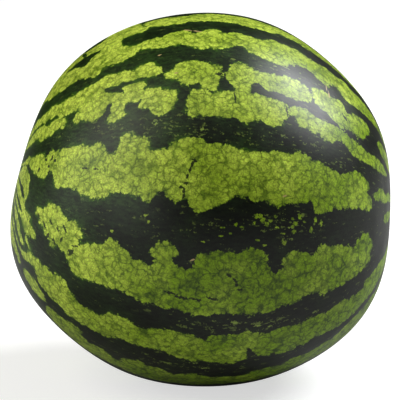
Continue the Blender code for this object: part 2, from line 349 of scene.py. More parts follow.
# Small marks, placed one by one and sorted by shape: half their length and half their height in mm,
# and how far they are turned anticlockwise in degrees. Then each one's two angles, as above.
darkMarks = {
    (0.7, 1.6, -10): (  # the crack in the middle stripe, and holes in its end by the stem
        (86.1, 4.7), (85.7, 3.1), (85.2, 1.4), (84.7, -2.1), (84.8, -3.6),
        (41.8, 5.0), (35.6, -0.2), (41.6, -1.3), (42.8, -4.4), (45.9, -24.8), (51.2, -23.5),
    ),
    (1.5, 0.8, -20): ((85.0, -0.3), (86.7, 5.8), (83.9, -1.4), (99.6, -24.4), (97.9, -23.0)),
    (0.8, 0.8, 0): ((39.0, 7.2), (43.5, 3.9), (38.8, 4.3), (41.0, 1.6), (100.0, -25.6)),
    (0.6, 2.1, 35): (   # cracks in the light patch below its end
        (40.4, -19.7), (43.5, -21.6), (49.5, -20.4), (48.7, -25.6), (52.1, -19.3), (46.3, -19.2),
    ),
    (1.7, 0.5, 0): ((48.3, 8.9), (55.7, 1.5), (59.7, 1.5), (56.3, -23.3), (101.1, -26.9)),
    (3.8, 0.6, -8): ((83.7, -29.2), (86.8, -30.1), (90.5, -30.3), (94.5, -29.7)),  # the long split
    (0.6, 3.1, 10): (   # clefts between the lobes of the upper stripes
        (92.1, 35.6), (92.7, 31.1), (75.1, 34.3), (95.8, 24.7), (110.7, 24.0), (118.2, 35.5), (119.1, 31.3),
    ),
    (0.6, 3.0, 35): ((131.1, 31.3), (131.6, 25.2)),
    (2.1, 1.0, 5): ((74.6, 31.2), (90.9, 32.3)),
    (1.5, 2.0, -20): ((55.0, -25.9),),
}

# Pale specks alone in the dark.
paleMarks = {
    (1.2, 1.1, 0): (
        (103.6, -7.2), (104.7, -7.0), (105.4, -8.0), (106.6, -9.0), (114.5, -8.7), (114.2, -11.0),
        (111.6, -14.1),
    ),
    (0.8, 0.8, 0): (
        (103.2, -8.9), (107.6, -8.2), (108.7, -7.0), (113.6, -7.4), (113.8, -9.6), (66.9, -15.6),
        (76.4, -11.2), (98.5, -9.6), (110.9, -22.0), (108.2, -21.2),
    ),
    (0.8, 1.6, 0): ((115.8, -6.8), (120.6, -7.8), (119.4, -10.7), (122.5, -8.8)),
    (1.1, 0.5, 0): (
        (117.1, -8.3), (100.2, -10.2), (95.2, -10.6), (95.0, -12.8), (97.4, -12.0), (109.4, -9.9),
        (111.2, -11.6), (75.5, -9.6), (104.5, -13.4), (90.8, -14.6), (106.3, -14.8),
    ),
}

# Dry scuffs, where the rind was rubbed.
scuffMarks = {
    (2.6, 0.35, -6): ((83.5, 52.4), (80.4, 53.4)),
    (0.35, 2.2, 5): ((125.2, 38.4), (124.4, 41.2)),
    (1.2, 0.45, 25): ((111.0, -1.3), (73.5, 40.2), (79.0, 32.0), (88.5, -19.5)),
}

# Patches of pale flecks in the dark stripes: degrees from the stem and round the axis, their spread
# both ways, and how dense the flecks are.
fleckPatches = (
    (112, -9, 10, 4, 0.75),
    (94, -11, 12, 4, 0.4),
    (75, -9, 9, 4, 0.3),
    (104, -38, 20, 3, 0.8),
    (92, -56, 22, 4, 0.7),
    (80, 14, 24, 4, 0.8),
    (112, 15, 14, 4, 0.5),
    (45, 13, 12, 4, 0.45),
    (104, 41, 20, 4, 0.4),
    (130, 12, 16, 5, 0.35),
    (150, 10, 10, 20, 0.3),
)
flecksElsewhere = 0.16

# The stripes that the photograph doesn't show follow one rule.
hiddenStripes = {
    "seed": 11,
    "first": 91.0,          # degrees round the axis
    "pitch": 19.6,
    "count": 10,
    "halfWidth": (4.4, 7.0),
    "wander": 1.5,          # degrees that a stripe strays
    "knob": 1.9,            # degrees that its edge bulges
    "bulge": 0.32,          # share that its width swells and shrinks by
    "wanderWaves": (2, 4),  # fewest and most waves in a full turn, of the line and of the width
    "bulgeWaves": (3, 6),
    "narrowing": (50, 0.25),  # it narrows this near an end, down to this share of its width
    "starts": (4, 9),       # degrees from the stem of its two ends
    "ends": (170, 175),
    "lastStart": 168,       # no piece of it starts beyond this, or is shorter than the next value
    "shortest": 9,
    "piece": 62.0,          # degrees between breaks, times a share
    "pieceShares": (0.35, 1.8),
    "gap": 2.6,             # degrees of a break, times a share
    "gapShares": (0.7, 1.8),
    "step": 1.7,            # degrees between an outline's points
    "fewestSteps": 6,
    "splitShare": 0.6,      # share of stripes with a dark split: where it starts, its length and place
    "split": ((35, 105), (12, 34), (-0.45, 0.45)),
    "splitHalf": 0.55,
    "splitKnob": 0.45,
    "islandShare": 0.7,     # share with a pale island: where it starts, its length and half its width
    "island": ((40, 130), (6, 13), (0.9, 1.6)),
    "islandAway": 2.6,
    "islandKnob": 0.8,
    "islandSteps": 8,
}

# The small lobes of a hidden stripe's edge.
edgeLobes = {
    "rows": ((0.65, 7.0), (0.35, 3.0)),  # rows of bumps: their share and their size in degrees
    "heights": (0.55, 1.0),
    "spacing": (0.6, 1.5),   # between two bumps, times their size
    "reach": 0.75,           # half a bump, times its size
    "strength": 1.6,
    "thinnest": 0.35,        # half width in degrees
    "blunt": 3.2,            # degrees in which an end closes
}


def smoothOutline(points, pieces):
    # rounds a closed outline: a Catmull-Rom curve through its points
    p = np.array(points, float)
    before, after, next2 = np.roll(p, 1, 0), np.roll(p, -1, 0), np.roll(p, -2, 0)
    stretches = []
    for t in np.arange(pieces) / pieces:
        stretches.append(0.5 * (
            2 * p + (after - before) * t
            + (2 * before - 5 * p + 4 * after - next2) * t ** 2
            + (3 * p - before - 3 * after + next2) * t ** 3
        ))
    return np.stack(stretches, 1).reshape(-1, 2)


def rindPoints(angles):
    # points in mm on a sphere round the axis' middle, for rows of the two angles
    along, round_ = np.radians(angles[:, 0]), np.radians(angles[:, 1])
    ring = np.outer(np.cos(round_), front) + np.outer(np.sin(round_), upward)
    unit = ring * np.sin(along)[:, None] - np.outer(np.cos(along), growthAxis)
    return unit * axisHalf / mm


def insideOutline(outline, angles):
    # even-odd rule in the plane of the two angles
    x, y = angles[:, 0], angles[:, 1]
    inside = np.zeros(len(angles), bool)
    for (x0, y0), (x1, y1) in zip(outline, np.roll(outline, -1, 0)):
        if y0 != y1:
            inside ^= ((y0 > y) != (y1 > y)) & (x < (x1 - x0) * (y - y0) / (y1 - y0) + x0)
    return inside


stripeField = {
    "farthest": 16.0,   # mm: the distance to an outline is kept no farther than this
    "smoothing": 3,     # pieces that each side of an outline is rounded into
    "spacing": 0.45,    # mm between the points that a distance is measured to
}


def signedDistance(outline, angles, points):
    # mm inside the outline, or minus mm outside it, for each vertex
    outline = smoothOutline(outline, stripeField["smoothing"])
    corners = rindPoints(outline)
    reach = stripeField["farthest"]
    result = np.full(len(points), -reach)
    near = np.ones(len(points), bool)
    for axis in range(3):
        near &= points[:, axis] > corners[:, axis].min() - reach
        near &= points[:, axis] < corners[:, axis].max() + reach
    sides = np.linalg.norm(np.roll(corners, -1, 0) - corners, axis=1)
    samples = []
    for start, end, length in zip(corners, np.roll(corners, -1, 0), sides):
        count = max(1, int(length / stripeField["spacing"]))
        samples.extend(start + (end - start) * i / count for i in range(count))
    tree = KDTree(len(samples))
    for i, sample in enumerate(samples):
        tree.insert(sample, i)
    tree.balance()
    chosen = np.flatnonzero(near)
    apart = np.array([tree.find(points[i])[2] for i in chosen])
    turned = angles[chosen]
    inside = insideOutline(outline, turned) | insideOutline(outline, turned + (0, 360))
    result[chosen] = np.where(inside, 1, -1) * np.minimum(apart, reach)
    return result


def rowOfBumps(draw, along, size):
    # an edge of round bumps with sharp notches between them, 0 at a notch and 1 on a bump
    places, here = [], along[0] - size
    while here < along[-1] + size:
        places.append((here, draw.uniform(*edgeLobes["heights"])))
        here += size * draw.uniform(*edgeLobes["spacing"])
    edge = np.zeros(len(along))
    for place, height in places:
        reach = size * edgeLobes["reach"] * height
        edge = np.maximum(edge, height * np.sqrt(np.clip(1 - ((along - place) / reach) ** 2, 0, 1)))
    return edge


def ribbon(draw, along, middle, half, knob):
    # an outline round a middle line, knobbed on both sides and blunt at both ends
    fromEnd = np.minimum(along - along[0], along[-1] - along)
    ends = np.sqrt(np.clip(fromEnd / edgeLobes["blunt"], 0, 1))
    edges = []
    for side in (-1, 1):
        bumps = sum(share * rowOfBumps(draw, along, size) for share, size in edgeLobes["rows"])
        width = half + knob * (bumps - 0.5) * edgeLobes["strength"]
        width = np.maximum(width, edgeLobes["thinnest"]) * ends
        edges.append(middle + side * width)
    return list(zip(along, edges[0])) + list(zip(along[::-1], edges[1][::-1]))


def hiddenOutlines():
    # light stripes on the hidden side, and dark splits in them, all from one seeded draw
    rule = hiddenStripes
    draw = np.random.default_rng(rule["seed"])
    light, dark = [], []
    for number in range(rule["count"]):
        middle = rule["first"] + rule["pitch"] * number + draw.uniform(-1, 1) * rule["wander"]
        half = draw.uniform(*rule["halfWidth"])
        waves, wavesFrom = draw.uniform(*rule["wanderWaves"]), draw.uniform(0, 360)
        swell, swellFrom = draw.uniform(*rule["bulgeWaves"]), draw.uniform(0, 360)
        nearEnd, narrowest = rule["narrowing"]

        def line(along):
            return middle + rule["wander"] * np.sin(np.radians(along * waves + wavesFrom))

        def halfAt(along):
            poles = np.clip(np.minimum(along, 180 - along) / nearEnd, narrowest, 1)
            return half * poles * (1 + rule["bulge"] * np.sin(np.radians(along * swell + swellFrom)))

        def stretch(start, length):
            return np.linspace(start, start + length, max(rule["fewestSteps"], int(length / rule["step"])))

        start = draw.uniform(*rule["starts"])
        while start < rule["lastStart"]:
            end = start + rule["piece"] * draw.uniform(*rule["pieceShares"])
            end = min(end, draw.uniform(*rule["ends"]))
            if end - start < rule["shortest"]:
                break
            along = stretch(start, end - start)
            light.append(ribbon(draw, along, line(along), halfAt(along), rule["knob"]))
            start = end + rule["gap"] * draw.uniform(*rule["gapShares"])
        if draw.uniform() < rule["splitShare"]:
            begins, lengths, places = rule["split"]
            along = stretch(draw.uniform(*begins), draw.uniform(*lengths))
            offset = halfAt(along) * draw.uniform(*places)
            dark.append(ribbon(draw, along, line(along) + offset, rule["splitHalf"], rule["splitKnob"]))
        if draw.uniform() < rule["islandShare"]:
            begins, lengths, halves = rule["island"]
            start, length = draw.uniform(*begins), draw.uniform(*lengths)
            along = np.linspace(start, start + length, rule["islandSteps"])
            offset = (halfAt(along) + rule["islandAway"]) * draw.choice((-1, 1))
            half = draw.uniform(*halves)
            light.append(ribbon(draw, along, line(along) + offset, half, rule["islandKnob"]))
    return light, dark


def paintMarkings(mesh):
    # stores how far each vertex lies inside the light stripes, in mm, and how flecked it is
    places = np.empty(len(mesh.vertices) * 3, np.float32)
    mesh.vertices.foreach_get("co", places)
    away = places.reshape(-1, 3) - np.array(bodyMiddle + axisMiddle)
    along, near, high = away @ growthAxis, away @ front, away @ upward
    angles = np.degrees(np.stack((np.arctan2(np.hypot(near, high), -along), np.arctan2(high, near)), 1))
    points = rindPoints(angles)
    hiddenLight, hiddenDark = hiddenOutlines()
    light = np.full(len(points), -stripeField["farthest"])
    for outline in [*frontLight.values(), *hiddenLight]:
        light = np.maximum(light, signedDistance(outline, angles, points))
    for outline in [*frontDark.values(), *hiddenDark]:
        light = np.minimum(light, -darkHold * signedDistance(outline, angles, points))
    flecks = np.full(len(points), flecksElsewhere)
    for fromStem, round_, spreadAlong, spreadRound, dense in fleckPatches:
        apart = ((angles[:, 0] - fromStem) / spreadAlong) ** 2
        apart += ((angles[:, 1] - round_) / spreadRound) ** 2
        flecks = np.maximum(flecks, dense * np.exp(-apart))
    for name, values in (("stripe", light), ("flecks", flecks)):
        layer = mesh.attributes.new(name, "FLOAT", "POINT")
        layer.data.foreach_set("value", values.astype(np.float32))


rindLooks = {
    "lightYoung": "#C8DA5A",    # pale yellow green of young rind, mixed in towards the key lamp: painted light
    "lightRipe": "#7C9B0A",     # deeper green of riper rind, mixed in away from the key lamp: painted shade
    # each Young colour is the lit copy and each Ripe colour the shaded copy of one tone, mixed by the
    # painted light field
    "veinYoung": "#66841C",
    "veinRipe": "#2A4208",
    "fringeYoung": "#426A10",
    "fringeRipe": "#263A0E",
    "darkYoung": "#273C16",
    "darkRipe": "#10160B",
    "fleck": "#9CB352",
    "scuff": "#BFA877",
    "groundSpot": "#D8CB86",
    "groundEdge": "#A8AC4A",
    "cork": "#8F774A",
    "corkCrack": "#4A3B22",
    # the side towards the key lamp, where the rind is painted paler as painted light
    "paintedLightSide": (-0.66, -0.12, 0.64),
    "ripeAndShadedPatches": (            # degrees from the stem and round the axis, reach in mm, how much riper and darker, as painted shade
        (92, -22, 75, 0.42), (84, 52, 50, 0.25),
    ),
    "roughness": (0.36, 0.44),
    "ior": 1.48,
    "cellMm": 6.6,              # the net of cells in a light stripe
    "grainMm": 2.6,
    "pushMm": (1.3, 0.9, 1.5),  # how far cells, grains and fine noise push a stripe's edge
    "flecksMm": (1.5, 2.7),
    "fleckSqueeze": 0.4,        # below 1 draws the flecks out along the stripes
    "mottleMm": 1.5,
    "raggedBy": {"dark": 3.2, "pale": 3.0, "scuff": 1.6},  # how torn the edges of the marks are
    "groundMm": (22.0, 38.0),   # the spot's full colour reaches this far, and its last tinge this far
    "groundMiddle": (2.0 * mm, 13.0 * mm, 0.0),
    "scarMm": 5.4,
    "collarMm": 8.6,
    "noises": {                 # size in mm and detail of each noise that colours or roughens the rind
        "grit": (0.85, 2), "fine": (1.5, 3), "ragged": (1.3, 3), "patches": (24, 2), "breaks": (8, 2),
        "drift": (9, 3), "crumbs": (0.9, 3), "wear": (14, 2), "pores": (1.4, 3),
    },
    "bends": {                  # noise that bends a pattern: its size and its reach in mm
        "cells": (7.0, 5.0), "grains": (1.9, 1.7), "flecks": (1.6, 2.6),
    },
}

markDepthMm = 9.0  # half the depth that a mark reaches through the rind, seen from the front

# Fruit coordinates: X along the growth axis, Y away from the camera, Z up.
fruitTurn = Matrix((growthAxis, -front, upward))


def rindPlaces(tree):
    # places on the rind in mm, and the noise and cells that its patterns share
    at, looks = SimpleNamespace(), rindLooks
    at.halfMm = axisHalf / mm
    at.object = addNode(tree, "ShaderNodeTexCoord").outputs["Object"]
    at.fruit = addNode(tree, "ShaderNodeMapping", {
        "Vector": at.object, "Location": fruitTurn @ (bodyMiddle + axisMiddle) / -mm,
        "Rotation": fruitTurn.to_euler(), "Scale": (1 / mm,) * 3,
    })
    at.way = addNode(tree, vectorNode, (at.fruit,), operation="NORMALIZE")
    at.onBall = addNode(tree, vectorNode, (at.way, (at.halfMm,) * 3), operation="MULTIPLY")
    at.onAxis = addNode(tree, "ShaderNodeSeparateXYZ", (at.fruit,)).outputs[0]
    ring = addNode(tree, vectorNode, (at.fruit, (0, 1, 1)), operation="MULTIPLY")
    at.ring = addNode(tree, vectorNode, (ring,), operation="LENGTH")
    at.ringWay = addNode(tree, vectorNode, (ring,), operation="NORMALIZE")

    # grown places are stretched along the meridians, as the flecks are
    fromBlossom = addNode(tree, mathNode, (at.ring, at.onAxis), operation="ARCTAN2")
    onward = addNode(tree, "ShaderNodeCombineXYZ", (fromBlossom,))
    ringPlace = addNode(tree, vectorNode, (at.ringWay, (at.halfMm,) * 3), operation="MULTIPLY")
    squeezed = (looks["fleckSqueeze"] * at.halfMm, 0, 0)
    grown = addNode(tree, vectorNode, (onward, squeezed, ringPlace), operation="MULTIPLY_ADD")

    # places bent by noise, so that no cell, grain or fleck is a straight-sided polygon. The grains
    # are bent twice, as they lie in the cells.
    at.bent = {}
    for name, (sizeMm, reachMm) in looks["bends"].items():
        begin = {"cells": at.fruit, "grains": at.bent.get("cells"), "flecks": grown}[name]
        stir = addNode(tree, noiseNode, {"Vector": at.fruit, "Scale": 1 / sizeMm, "Detail": 2.0})
        centred = addNode(tree, vectorNode, (stir.outputs["Color"], (0.5,) * 3), operation="SUBTRACT")
        pushed = (centred, (reachMm,) * 3, begin)
        at.bent[name] = addNode(tree, vectorNode, pushed, operation="MULTIPLY_ADD")
    at.noises = {
        name: addNode(tree, noiseNode, {"Vector": at.fruit, "Scale": 1 / sizeMm, "Detail": detail})
        for name, (sizeMm, detail) in looks["noises"].items()
    }
    at.ragged = addNode(tree, mathNode, (at.noises["ragged"], 0.5), operation="SUBTRACT")
    cellScale, grainScale = 1 / looks["cellMm"], 1 / looks["grainMm"]
    at.cells = addNode(tree, voronoiNode, {"Vector": at.bent["cells"], "Scale": cellScale}).outputs
    at.grains = addNode(tree, voronoiNode, {"Vector": at.bent["grains"], "Scale": grainScale}).outputs
    cellEdges = {"Vector": at.bent["grains"], "Scale": cellScale}
    at.cellEdges = addNode(tree, voronoiNode, cellEdges, feature="DISTANCE_TO_EDGE")
    return at


def stripeEdge(tree, at):
    # mm inside a light stripe: the stored distance, pushed out by cells, grains and fine noise. The
    # pushes shrink towards the two ends, as the cells do.
    push = 0.0
    sources = (at.cells[0], at.grains[0], at.noises["fine"])
    for source, middle, reachMm, side in zip(sources, (0.52, 0.52, 0.5), rindLooks["pushMm"], (-1, -1, 1)):
        apart = addNode(tree, mathNode, (source, middle), operation="SUBTRACT")
        push = addNode(tree, mathNode, (apart, 2 * side * reachMm, push), operation="MULTIPLY_ADD")
    calm = addNode(tree, rampNode, (at.ring, 30.0, 95.0, 0.35, 1.0))
    stripe = addNode(tree, "ShaderNodeAttribute", attribute_name="stripe").outputs["Fac"]
    return addNode(tree, mathNode, (push, calm, stripe), operation="MULTIPLY_ADD")


def rindYouthAndPaintedLight(tree, at):
    # 1 where the rind is young and pale, with soft patches: painted light, as it is laid towards the key
    # lamp's side over the young rind's real paler tone; the riper patches below are painted shade
    paintedLightSide = fruitTurn @ Vector(rindLooks["paintedLightSide"]).normalized()
    towardsPaintedLight = addNode(tree, vectorNode, (at.way, paintedLightSide), operation="DOT_PRODUCT")
    patchy = (at.noises["patches"], 1.5, addNode(tree, rampNode, (towardsPaintedLight, -1.0, 1.0, -1.0, 0.3)))
    youngAndLit = addNode(tree, mathNode, patchy, operation="MULTIPLY_ADD", use_clamp=True)
    # darker, riper patches in the front middle and on top: painted shade mixed with riper rind
    for fromStem, round_, reachMm, riper in rindLooks["ripeAndShadedPatches"]:
        middle = fruitTurn @ Vector(rindPoints(np.array([(fromStem, round_)]))[0])
        apart = addNode(tree, vectorNode, (at.onBall, middle), operation="DISTANCE")
        patch = addNode(tree, rampNode, (apart, 0.0, reachMm, riper, 0.0), **softly)
        youngAndLit = addNode(tree, mathNode, (youngAndLit, patch), operation="SUBTRACT", use_clamp=True)
    return youngAndLit


def lightColor(tree, at, pairs):
    # bright round grains with darker green between them, and broken veins round the cells
    veinKeep = addNode(tree, rampNode, (at.noises["breaks"], 0.38, 0.6, 0.1, 1.0))
    veinLine = addNode(tree, rampNode, (at.cellEdges, 0.0, 0.09, 0.8, 0.0))
    veins = addNode(tree, mathNode, (veinKeep, veinLine), operation="MULTIPLY")
    clear = addNode(tree, mathNode, (1.0, veins), operation="SUBTRACT")
    for source, low, high, least in ((at.grains[0], 0.46, 0.86, 0.32), (at.cells[0], 0.50, 0.90, 0.55)):
        kept = addNode(tree, rampNode, (source, low, high, 1.0, least), **softly)
        clear = addNode(tree, mathNode, (clear, kept), operation="MULTIPLY")
    light = {mixFactor: clear, mixA: pairs["vein"], mixB: pairs["light"]}
    light = addNode(tree, mixNode, light, **rgba)
    lot = addNode(tree, "ShaderNodeSeparateColor", (at.grains["Color"],))
    grit = at.noises["grit"]
    for source, low, high, least, most in ((lot, 0.0, 1.0, 0.90, 1.16), (grit, 0.3, 0.7, 0.68, 1.36)):
        tone = addNode(tree, rampNode, (source, low, high, least, most))
        light = addNode(tree, vectorNode, (light, tone), operation="MULTIPLY")
    return light


def darkColor(tree, at, edge, plain, fleckTint):
    # mottled, greener towards the light, with pale flecks drawn out along the stripes
    mottle = {"Vector": at.bent["flecks"], "Scale": 1 / rindLooks["mottleMm"], "Detail": 3.0}
    mottle = addNode(tree, noiseNode, mottle)
    dark = plain
    for tone in ((mottle, 0.36, 0.74, 0.45, 2.2), (edge, -9.0, -1.0, 0.85, 1.2)):
        dark = addNode(tree, vectorNode, (dark, addNode(tree, rampNode, tone)), operation="MULTIPLY")
    flecks = addNode(tree, "ShaderNodeAttribute", attribute_name="flecks").outputs["Fac"]
    fleck = 0.0
    for sizeMm, common, strength in zip(rindLooks["flecksMm"], (1.0, 0.5), (0.40, 0.80)):
        dots = addNode(tree, voronoiNode, {"Vector": at.bent["flecks"], "Scale": 1 / sizeMm}).outputs
        lot = addNode(tree, "ShaderNodeSeparateColor", (dots["Color"],))
        against = addNode(tree, mathNode, (lot, -1.0), operation="MULTIPLY")
        chance = addNode(tree, mathNode, (flecks, common, against), operation="MULTIPLY_ADD")
        chosen = addNode(tree, rampNode, (chance, 0.0, 0.2, 0.0, strength))
        apart = addNode(tree, mathNode, (at.ragged, 0.8, dots[0]), operation="MULTIPLY_ADD")
        spot = addNode(tree, rampNode, (apart, 0.20, 0.42, 1.0, 0.0), **softly)
        spot = addNode(tree, mathNode, (chosen, spot), operation="MULTIPLY")
        fleck = addNode(tree, mathNode, (fleck, spot), operation="MAXIMUM")
    return addNode(tree, mixNode, {mixFactor: fleck, mixA: dark, mixB: fleckTint}, **rgba)


def placedMarks(tree, at, groups, raggedBy):
    # marks placed one by one, each a stretched ball with a ragged edge
    nearest = 9.0
    for (halfLong, halfHigh, turned), places in groups.items():
        halves = (halfLong, markDepthMm, halfHigh)
        turn = Matrix.Rotation(-math.radians(turned), 3, "Y")
        shape = {"Vector": at.onBall, "Rotation": turn.to_euler(), "Scale": halves}
        shaped = addNode(tree, "ShaderNodeMapping", shape, vector_type="TEXTURE")
        for middle in rindPoints(np.array(places)):
            there = turn.inverted() @ fruitTurn @ Vector(middle)
            there = [along / half for along, half in zip(there, halves)]
            reach = addNode(tree, vectorNode, (shaped, there), operation="DISTANCE")
            nearest = addNode(tree, mathNode, (nearest, reach), operation="MINIMUM")
    nearest = addNode(tree, mathNode, (at.ragged, raggedBy, nearest), operation="MULTIPLY_ADD")
    return addNode(tree, rampNode, (nearest, 0.8, 1.25, 0.95, 0.0), **softly)


def groundSpot(tree, at, color, tint):
    # the pale, mealy spot where the fruit lay on the ground
    inner, outer = rindLooks["groundMm"]
    away = addNode(tree, vectorNode, (at.object, rindLooks["groundMiddle"]), operation="DISTANCE")
    drift = addNode(tree, mathNode, (at.noises["drift"], 26.0, -13.0), operation="MULTIPLY_ADD")
    away = addNode(tree, mathNode, (away, 1 / mm, drift), operation="MULTIPLY_ADD")
    pale = tint["groundSpot"]
    for share in ((at.noises["grit"], 0.35, 0.75, 0.0, 0.5), (away, inner, outer, 0.0, 1.0)):
        share = addNode(tree, rampNode, share)
        pale = addNode(tree, mixNode, {mixFactor: share, mixA: pale, mixB: tint["groundEdge"]}, **rgba)
    share = addNode(tree, rampNode, (away, 0.6 * inner, outer, 1.0, 0.0), **softly)
    return addNode(tree, mixNode, {mixFactor: share, mixA: color, mixB: pale}, **rgba)


def corkPlaces(tree, at):
    # where the blossom scar and the collar round the stem are cork, and where that is whole and not
    # cracked, along rays
    rays = addNode(tree, noiseNode, {"Vector": at.ringWay, "Scale": 5.0, "Detail": 2.0})
    cracked = addNode(tree, mathNode, (rays, at.noises["crumbs"]), operation="MULTIPLY")
    shift = addNode(tree, mathNode, (rays, 2.4, -1.2), operation="MULTIPLY_ADD")
    ring = addNode(tree, mathNode, (shift, at.ring), operation="ADD")
    cork = 0.0
    for side, reachMm, softMm in ((1.0, rindLooks["scarMm"], 0.9), (-1.0, rindLooks["collarMm"], 2.2)):
        share = addNode(tree, rampNode, (ring, reachMm - softMm, reachMm + softMm, 1.0, 0.0))
        sideways = addNode(tree, mathNode, (at.onAxis, side), operation="MULTIPLY")
        onSide = addNode(tree, mathNode, (sideways, 0.5 * at.halfMm), operation="GREATER_THAN")
        share = addNode(tree, mathNode, (share, onSide), operation="MULTIPLY")
        cork = addNode(tree, mathNode, (cork, share), operation="MAXIMUM")
    return cork, addNode(tree, rampNode, (cracked, 0.18, 0.34))


def makeRindMaterial():
    # Watermelon rind, grown and lightly waxed: a soft satin sheen over round grains that show as a
    # pale net, with dark stripes whose edges break up into small lobes.
    looks = rindLooks
    tint = {name: linear(value) for name, value in looks.items() if str(value).startswith("#")}
    material = bpy.data.materials.new("waxyWatermelonRind")
    material.use_nodes = True
    tree = material.node_tree
    shader = tree.nodes["Principled BSDF"]
    at = rindPlaces(tree)
    edge = stripeEdge(tree, at)
    youngAndLit = rindYouthAndPaintedLight(tree, at)
    youngestAndLit = addNode(tree, mathNode, (youngAndLit, 2.0), operation="POWER")
    # Young and Ripe colours mixed by the painted light field: paler towards the key lamp, darker away from
    # it
    pairs = {}
    for name, share in (("light", youngAndLit), ("vein", youngAndLit), ("fringe", youngAndLit), ("dark", youngestAndLit)):
        colors = {mixFactor: share, mixA: tint[name + "Ripe"], mixB: tint[name + "Young"]}
        pairs[name] = addNode(tree, mixNode, colors, **rgba)
    light = lightColor(tree, at, pairs)
    dark = darkColor(tree, at, edge, pairs["dark"], tint["fleck"])
    darkMark = placedMarks(tree, at, darkMarks, looks["raggedBy"]["dark"])
    paleMark = placedMarks(tree, at, paleMarks, looks["raggedBy"]["pale"])
    scuff = placedMarks(tree, at, scuffMarks, looks["raggedBy"]["scuff"])

    # dark to light through a speckled fringe of full green, widest where the young-and-lit field is high,
    # so its width also follows the painted light towards the key lamp
    gritShift = addNode(tree, mathNode, (at.noises["grit"], 0.5), operation="SUBTRACT")
    fringeEdge = addNode(tree, mathNode, (gritShift, 2.4, edge), operation="MULTIPLY_ADD")
    fringeFrom = addNode(tree, rampNode, (youngestAndLit, 0.0, 1.0, -0.5, -2.2))
    toFringe = addNode(tree, rampNode, (fringeEdge, fringeFrom, -0.1), **softly)
    lightEdge = addNode(tree, mathNode, (gritShift, 1.2, edge), operation="MULTIPLY_ADD")
    toLight = addNode(tree, rampNode, (lightEdge, -0.5, 0.5), **softly)
    toLight = addNode(tree, mathNode, (toLight, paleMark), operation="MAXIMUM")
    unmarked = addNode(tree, mathNode, (1.0, darkMark), operation="SUBTRACT")
    toLight = addNode(tree, mathNode, (toLight, unmarked), operation="MULTIPLY")
    color = dark
    for share, over in (
        (toFringe, pairs["fringe"]), (darkMark, pairs["dark"]), (toLight, light), (scuff, tint["scuff"]),
    ):
        color = addNode(tree, mixNode, {mixFactor: share, mixA: color, mixB: over}, **rgba)
    color = groundSpot(tree, at, color, tint)
    corkShare, whole = corkPlaces(tree, at)
    cork = {mixFactor: whole, mixA: tint["corkCrack"], mixB: tint["cork"]}
    cork = addNode(tree, mixNode, cork, **rgba)
    color = addNode(tree, mixNode, {mixFactor: corkShare, mixA: color, mixB: cork}, **rgba)
    tree.links.new(color.outputs[2], shader.inputs["Base Color"])

    # satin wax, worn in soft patches, and dull on the cork
    satin = addNode(tree, rampNode, (at.noises["wear"], 0.3, 0.7, *looks["roughness"]))
    dull = addNode(tree, mathNode, (corkShare, 0.4, satin), operation="MULTIPLY_ADD")
    tree.links.new(dull.outputs[0], shader.inputs["Roughness"])
    shader.inputs["IOR"].default_value = looks["ior"]
    corkHeight = addNode(tree, mathNode, (at.noises["crumbs"], corkShare), operation="MULTIPLY")
    height = addNode(tree, mathNode, (corkHeight, 4.0, at.noises["pores"]), operation="MULTIPLY_ADD")
    bump = addNode(tree, "ShaderNodeBump", {"Strength": 0.12, "Distance": 0.4 * mm, "Height": height})
    tree.links.new(bump.outputs[0], shader.inputs["Normal"])
    return material


rindShape = {
    "Rings": 260,
    "Sides": 380,
    "Body Radius": body["radius"],
    "Stem Dimple Depth": 6.2 * mm,
    "Stem Dimple Radius": 24.0 * mm,
    "Blossom Dimple Depth": 1.4 * mm,
    "Blossom Dimple Radius": 17.0 * mm,
    "Scar Radius": 5.5 * mm,
    "Scar Height": 0.7 * mm,
    "Relief Height": 0.18 * mm,
    "Relief Size": 26.0 * mm,
    "Seed": 4.0,
}


def newTree(name, values, inputs=()):
    # an empty Geometry Nodes tree with a named input for each value, and what its inputs give
    tree = bpy.data.node_groups.new(name, "GeometryNodeTree")
    tree.is_modifier = True
    kinds = {int: "NodeSocketInt", float: "NodeSocketFloat"}
    sockets = [*inputs, *((label, kinds[type(value)]) for label, value in values.items())]
    for label, kind in sockets:
        tree.interface.new_socket(label, in_out="INPUT", socket_type=kind)
    tree.interface.new_socket("Geometry", in_out="OUTPUT", socket_type="NodeSocketGeometry")
    return tree, addNode(tree, "NodeGroupInput").outputs


def closeTree(tree, shape, material):
    # ends a tree with smooth, real geometry in its material
    smooth = addNode(tree, "GeometryNodeSetShadeSmooth", {"Geometry": shape})
    real = addNode(tree, "GeometryNodeRealizeInstances", {"Geometry": smooth})
    dressed = addNode(tree, "GeometryNodeSetMaterial", {"Geometry": real, "Material": material})
    addNode(tree, "NodeGroupOutput", (dressed,))
    return tree


